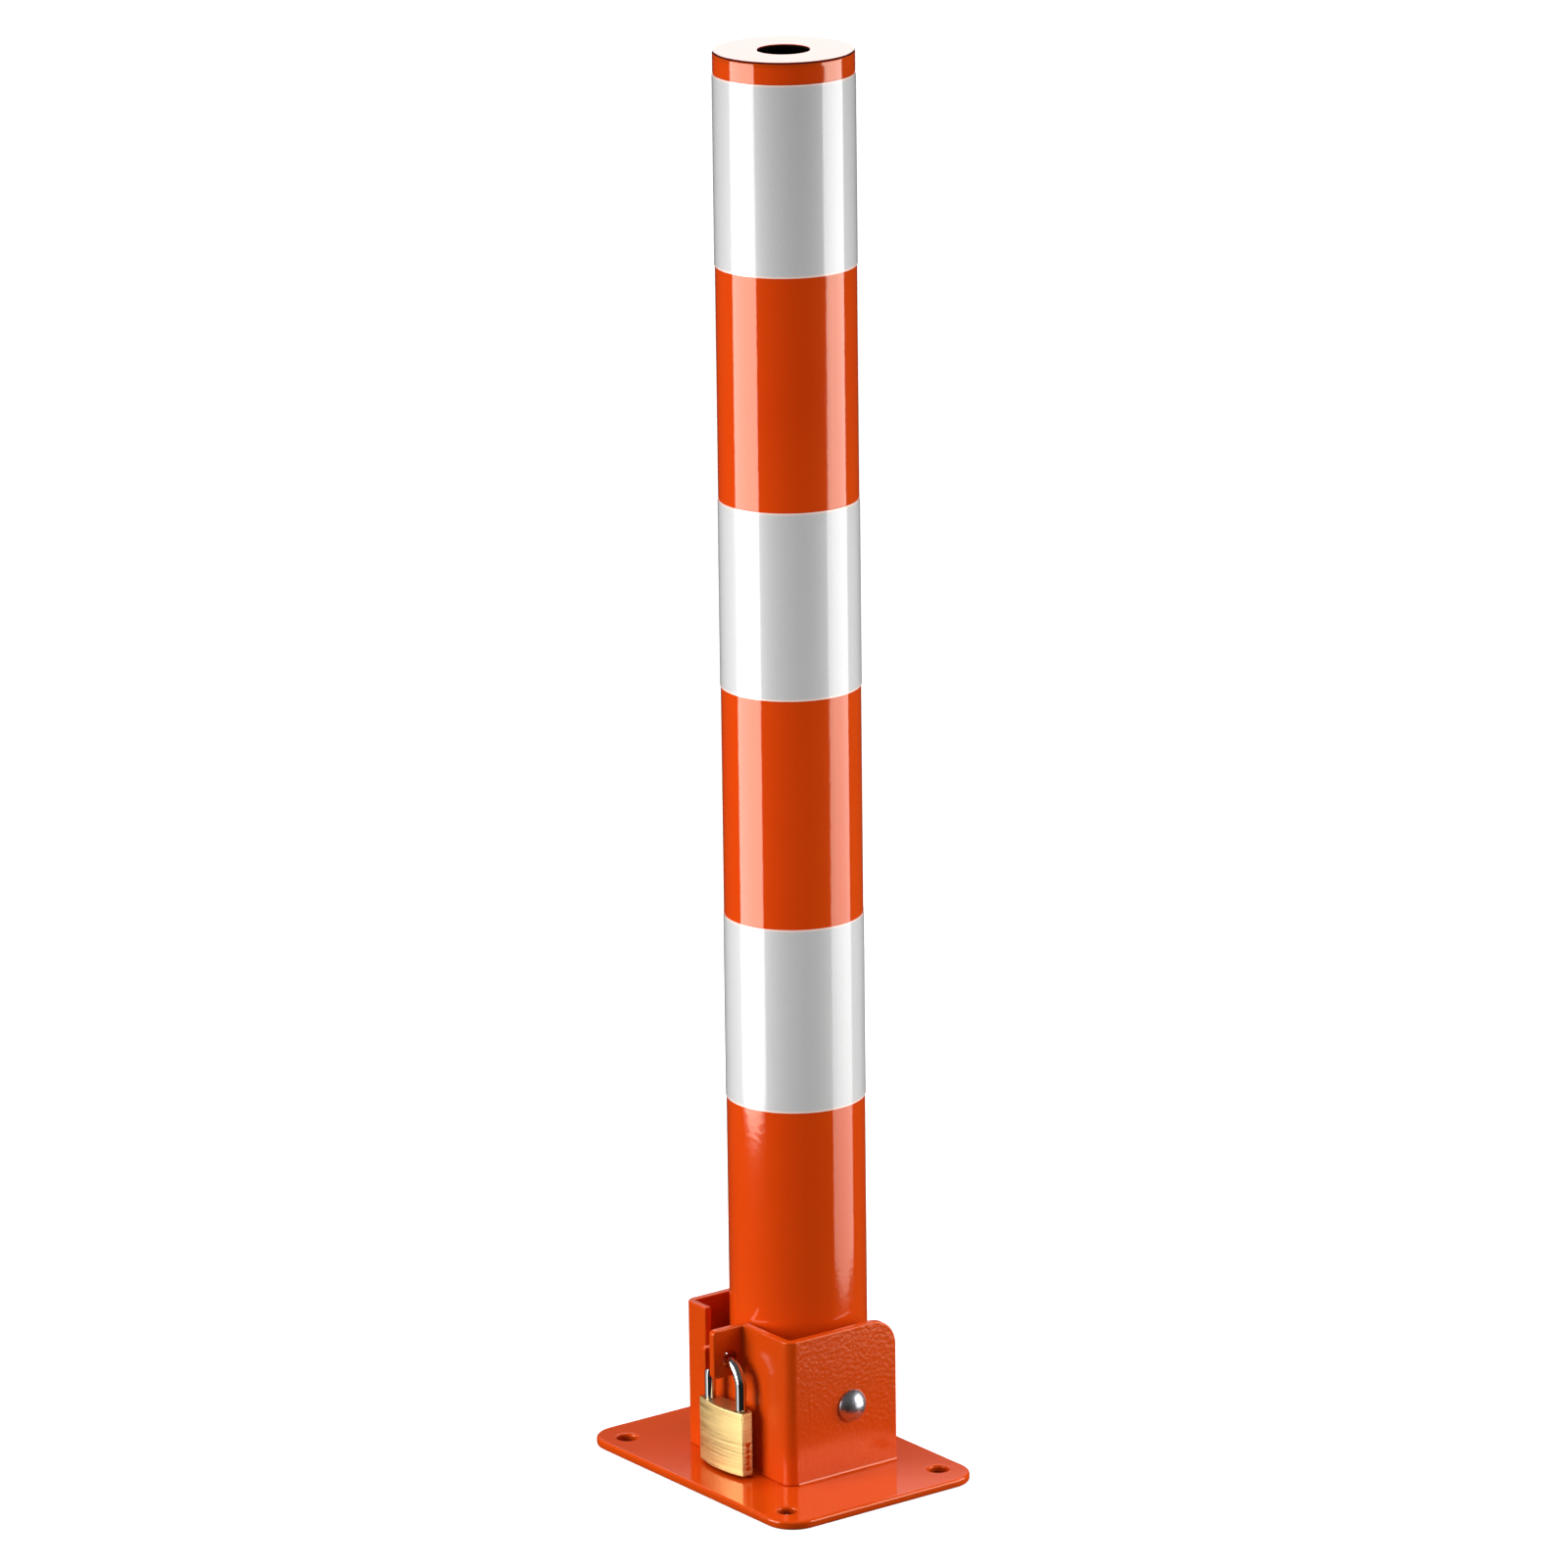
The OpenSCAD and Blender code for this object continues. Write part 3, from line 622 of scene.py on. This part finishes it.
def easeEdges(name, spec):
    piece = copyPacked(name, name.replace("_", "") + "Eased", pickEdges)
    bpy.ops.mesh.dissolve_limited(angle_limit=math.radians(easing["flatWithin"]))
    bpy.ops.mesh.select_all(action="DESELECT")
    bpy.ops.mesh.edges_select_sharp(sharpness=math.radians(easing["sharpFrom"]))
    bpy.ops.object.mode_set(mode="OBJECT")
    low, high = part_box(name)
    mesh = piece.data
    chosen = [
        edge.select and spec["rims"](*(mesh.vertices[i].co for i in edge.vertices), low, high) for edge in mesh.edges
    ]
    for part in (*mesh.vertices, *mesh.edges, *mesh.polygons):
        part.select = False
    for edge, on in zip(mesh.edges, chosen):
        edge.select = on
    bpy.ops.object.mode_set(mode="EDIT")
    bpy.ops.mesh.bevel(offset=spec["width"], segments=easing["segments"], affect="EDGES", clamp_overlap=False)
    bpy.ops.object.mode_set(mode="OBJECT")
    bpy.ops.object.shade_smooth_by_angle(angle=math.radians(easing["smoothTo"]))
    weighted = piece.modifiers.new("flatFaces", "WEIGHTED_NORMAL")
    weighted.keep_sharp = True
    weighted.weight = easing["weight"]
    bpy.ops.object.modifier_apply(modifier=weighted.name)
    piece.data.materials.clear()
    piece.data.materials.append(spec["paint"])
    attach(piece, spec["body"])
    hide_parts(name)


for name, spec in easedEdges.items():
    easeEdges(name, spec)
    print("eased", name)

easedLock = bpy.data.objects["padlockbodyEased"]
litPieces = {
    "metal": [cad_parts["shackle"], easedLock],
    "brass": [easedLock],
    "tube": [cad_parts["post_tube"]],
    "bands": [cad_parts[name] for name in bandNames],
}
for group, pieces in litPieces.items():
    for piece in pieces:
        litAlone[group].objects.link(piece)


# Pieces modelled one by one


def finishPiece(piece, name, material, body, angle=35):
    # names and shades a piece, puts its place into its mesh and hands it to its body
    piece.name = name
    selectOnly(piece)
    bpy.ops.object.transform_apply(location=True, rotation=True, scale=True)
    bpy.ops.object.mode_set(mode="EDIT")
    bpy.ops.mesh.select_all(action="SELECT")
    bpy.ops.mesh.remove_doubles(threshold=sameSpot)
    bpy.ops.mesh.normals_make_consistent(inside=False)
    bpy.ops.object.mode_set(mode="OBJECT")
    bpy.ops.object.shade_smooth_by_angle(angle=math.radians(angle))
    piece.data.materials.clear()
    piece.data.materials.append(material)
    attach(piece, body)


def profileRing(points):
    # a flat closed outline, left in edit mode: a circle whose points are moved to the wanted places
    clearSelection()
    bpy.ops.mesh.primitive_circle_add(vertices=len(points), radius=1 * mm, fill_type="NGON")
    ring = bpy.context.object
    for vertex, point in zip(ring.data.vertices, points):
        vertex.co = point
    bpy.ops.object.mode_set(mode="EDIT")
    bpy.ops.mesh.select_all(action="SELECT")
    return ring


# The thin fillet of weld and paint where the bracket meets the plate

footFillet = {
    "leg": 1.3 * mm,
    "sunk": 0.3 * mm,  # into the plate and the bracket
    # the section's points, as shares of the leg
    "toe": 0.02,
    "half": 0.5,
    "hollow": 0.16,
    # the bracket's outer faces, its folds and the top of the plate
    "side": 48 * mm,
    "front": -30.5 * mm,
    "rear": 43.3 * mm,
    "fold": 6 * mm,
    "level": 5 * mm,
    "steps": 10,
}


def addFootFillet(spec):
    leg, sunk = spec["leg"], spec["sunk"]
    toe, half, hollow = (spec[key] * leg for key in ("toe", "half", "hollow"))
    outline = [(-sunk, -sunk), (leg, -sunk), (leg, toe), (half, hollow), (hollow, half), (toe, leg), (-sunk, leg)]
    piece = profileRing([(-spec["side"] - out, spec["rear"], spec["level"] + up) for out, up in outline])
    foldY = spec["front"] + spec["fold"]
    foldX = spec["side"] - spec["fold"]

    def run(x, y):
        bpy.ops.mesh.extrude_region_move(TRANSFORM_OT_translate={"value": (x, y, 0)})

    def bend(x):
        bpy.ops.mesh.spin(steps=spec["steps"], angle=math.radians(90), center=(x, foldY, 0), axis=(0, 0, 1))

    run(0, foldY - spec["rear"])
    bend(-foldX)
    run(2 * foldX, 0)
    bend(foldX)
    run(0, spec["rear"] - foldY)
    bpy.ops.object.mode_set(mode="OBJECT")
    finishPiece(piece, "footFillet", paint, "base")


addFootFillet(footFillet)
print("foot fillet laid")


# Weld beads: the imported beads, remeshed and drawn into ripples as the torch leaves them

weldBeads = {
    "bracket_weld": {"body": "base", "voxel": 0.55 * mm, "ripple": 2.2 * mm, "depth": 0.35 * mm, "around": False},
    "sleeve_welds": {"body": "post", "voxel": 0.4 * mm, "ripple": 1.8 * mm, "depth": 0.3 * mm, "around": True},
    "lug_welds": {"body": "post", "voxel": 0.25 * mm, "ripple": 1.6 * mm, "depth": 0.25 * mm, "around": False},
}


def rippleWeld(name, spec):
    piece = copyPacked(name, name)
    bpy.ops.object.mode_set(mode="OBJECT")
    remesh = piece.modifiers.new("beadSkin", "REMESH")
    remesh.mode = "VOXEL"
    remesh.voxel_size = spec["voxel"]
    bpy.ops.object.modifier_apply(modifier=remesh.name)
    low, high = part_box(name)
    middle = (low + high) / 2
    for vertex in piece.data.vertices:
        at = vertex.co
        if spec["around"]:
            along = math.atan2(at.z - middle.z, at.y - middle.y) * (high.z - low.z) / 2
        else:
            along = at.x + at.y + at.z
        dip = 1 - abs(math.sin(math.pi * along / spec["ripple"]))
        vertex.co = at - vertex.normal * spec["depth"] * dip
    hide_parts(name)
    finishPiece(piece, name.replace("_", "") + "Rippled", paint, spec["body"], angle=60)


for name, spec in weldBeads.items():
    rippleWeld(name, spec)
print("weld beads rippled")


# The pivot bolt, turned with its domed head and its threaded tail, and the chamfered nut

boltLook = {
    "axisY": axisY,
    "axisZ": 43.6 * mm,
    "headFace": 48 * mm,
    "headRadius": 9.25 * mm,
    "headHeight": 6 * mm,
    "domeSteps": 16,
    "edge": 0.8 * mm,  # the straight rim below the dome
    "edgeRound": 0.3 * mm,
    "rimRise": 0.1 * mm,  # the rim's rounding, along the bolt and inwards
    "rimDraw": 0.05 * mm,
    "shank": 5 * mm,
    "core": 4.15 * mm,
    "threadFrom": -56 * mm,
    "tailEnd": -62 * mm,
    "chamfer": 0.8 * mm,
    "tailChamfer": 0.4 * mm,
    "segments": 96,
}
threadLook = {
    "pitch": 1.5 * mm,
    "turns": 3,
    "start": 0.6 * mm,  # beyond the shank's end
    "root": 0.42,  # half the thread's width at its foot, as a share of the pitch
    "rootSunk": 0.15 * mm,
    "crest": 0.1 * mm,  # half its width at its crest
    "crestSunk": 0.05 * mm,
    "steps": 48,
}
nutLook = {
    "from": -50 * mm,
    "to": -58 * mm,
    "end": -60 * mm,
    "corner": 9.85 * mm,
    "face": 8.4 * mm,
    "chamfer": 0.75 * mm,
    "collar": 0.5 * mm,  # the collar's rim, and how far it steps in
    "collarRound": 1.1 * mm,
}


def lathe(points, segments):
    # a closed outline of (x, radius) points turned about the bolt's axis
    centre = (0, boltLook["axisY"], boltLook["axisZ"])
    ring = profileRing([(x, centre[1], centre[2] + radius) for x, radius in points])
    bpy.ops.mesh.delete(type="ONLY_FACE")
    bpy.ops.mesh.select_all(action="SELECT")
    bpy.ops.mesh.spin(steps=segments, angle=math.radians(360), center=centre, axis=(1, 0, 0))
    bpy.ops.mesh.select_all(action="SELECT")
    bpy.ops.mesh.remove_doubles(threshold=sameSpot)
    bpy.ops.mesh.dissolve_degenerate(threshold=sameSpot / 2)
    bpy.ops.mesh.normals_make_consistent(inside=False)
    bpy.ops.object.mode_set(mode="OBJECT")
    return ring


def addThread(spec, bolt):
    # one turn's outline, wound along the bolt's tail
    half = spec["root"] * spec["pitch"]
    foot = bolt["core"] - spec["rootSunk"]
    crest = bolt["shank"] - spec["crestSunk"]
    x = bolt["threadFrom"] - spec["start"]
    outline = [(x + half, foot), (x + spec["crest"], crest), (x - spec["crest"], crest), (x - half, foot)]
    thread = profileRing([(along, 0, radius) for along, radius in outline])
    bpy.ops.mesh.delete(type="ONLY_FACE")
    bpy.ops.object.mode_set(mode="OBJECT")
    winding = thread.modifiers.new("winding", "SCREW")
    winding.axis = "X"
    winding.angle = math.radians(360)
    winding.screw_offset = -spec["pitch"]
    winding.iterations = spec["turns"]
    winding.steps = winding.render_steps = spec["steps"]
    winding.use_merge_vertices = False
    bpy.ops.object.modifier_apply(modifier=winding.name)
    thread.location = (0, bolt["axisY"], bolt["axisZ"])
    bpy.ops.object.mode_set(mode="EDIT")
    bpy.ops.mesh.select_all(action="SELECT")
    bpy.ops.mesh.fill_holes(sides=0)
    bpy.ops.object.mode_set(mode="OBJECT")
    finishPiece(thread, "boltThread", zinc, "base", angle=30)


def addBolt(spec):
    rise = spec["headHeight"] - spec["edge"]
    domeRadius = (spec["headRadius"] ** 2 + rise**2) / (2 * rise)
    domeMiddle = spec["headFace"] + spec["headHeight"] - domeRadius
    reach = math.asin((spec["headRadius"] - spec["edgeRound"]) / domeRadius)
    turns = [reach * i / spec["domeSteps"] for i in range(spec["domeSteps"] + 1)]
    outline = [
        *((domeMiddle + domeRadius * math.cos(turn), domeRadius * math.sin(turn)) for turn in turns),
        (spec["headFace"] + spec["edge"] - spec["rimRise"], spec["headRadius"] - spec["rimDraw"]),
        (spec["headFace"] + spec["edge"] / 2, spec["headRadius"]),
        (spec["headFace"] + spec["rimRise"], spec["headRadius"] - spec["rimDraw"]),
        (spec["headFace"], spec["headRadius"] - spec["edgeRound"]),
        (spec["headFace"], spec["shank"]),
        (spec["threadFrom"], spec["shank"]),
        (spec["threadFrom"] - spec["chamfer"], spec["core"]),
        (spec["tailEnd"] + spec["tailChamfer"], spec["core"]),
        (spec["tailEnd"], spec["core"] - spec["tailChamfer"]),
        (spec["tailEnd"], 0),
    ]
    bolt = lathe(outline, spec["segments"])
    addThread(threadLook, spec)
    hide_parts("pivot_bolt")
    finishPiece(bolt, "domedBolt", zinc, "base", angle=30)


def addNut(spec):
    nut = copyPacked("pivot_nut", "lockNut")
    bpy.ops.object.mode_set(mode="OBJECT")
    outline = [
        (spec["from"] + touching, 0),
        (spec["from"] + touching, spec["face"]),
        (spec["from"] - spec["chamfer"], spec["corner"]),
        (spec["to"] + spec["chamfer"], spec["corner"]),
        (spec["to"], spec["face"]),
        (spec["end"] + spec["collar"], spec["face"]),
        (spec["end"] + spec["collar"], spec["face"] - spec["collar"]),
        (spec["end"] - touching, spec["face"] - spec["collarRound"]),
        (spec["end"] - touching, 0),
    ]
    cutter = lathe(outline, boltLook["segments"])
    selectOnly(nut)
    cut = nut.modifiers.new("chamfers", "BOOLEAN")
    cut.operation = "INTERSECT"
    cut.solver = "EXACT"
    cut.object = cutter
    bpy.ops.object.modifier_apply(modifier=cut.name)
    bpy.data.objects.remove(cutter)
    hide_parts("pivot_nut")
    finishPiece(nut, "lockNut", zinc, "base", angle=25)


addBolt(boltLook)
addNut(nutLook)
print("bolt and nut turned")


# Film laps: where each band's ends overlap, behind the post

filmLap = {"bearing": 112, "width": 9 * mm, "thickness": 0.25 * mm, "radius": 38.32 * mm, "segments": 160}


def addFilmLap(name, spec):
    low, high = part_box(name)
    clearSelection(pickFaces)
    bpy.ops.mesh.primitive_cylinder_add(
        vertices=spec["segments"],
        radius=spec["radius"],
        depth=high.z - low.z,
        end_fill_type="NOTHING",
        location=(0, axisY, (low.z + high.z) / 2),
    )
    lap = bpy.context.object
    reach = math.degrees(spec["width"] / spec["radius"]) / 2
    for face in lap.data.polygons:
        bearing = math.degrees(math.atan2(face.center.y, face.center.x))
        face.select = abs(bearing - spec["bearing"]) > reach
    bpy.ops.object.mode_set(mode="EDIT")
    bpy.ops.mesh.delete(type="FACE")
    bpy.ops.object.mode_set(mode="OBJECT")
    wall = lap.modifiers.new("filmThickness", "SOLIDIFY")
    wall.thickness = spec["thickness"]
    wall.offset = 1
    bpy.ops.object.modifier_apply(modifier=wall.name)
    finishPiece(lap, name.replace("_", "") + "Lap", film, "post", angle=30)


for name in bandNames:
    addFilmLap(name, filmLap)
print("film laps laid")
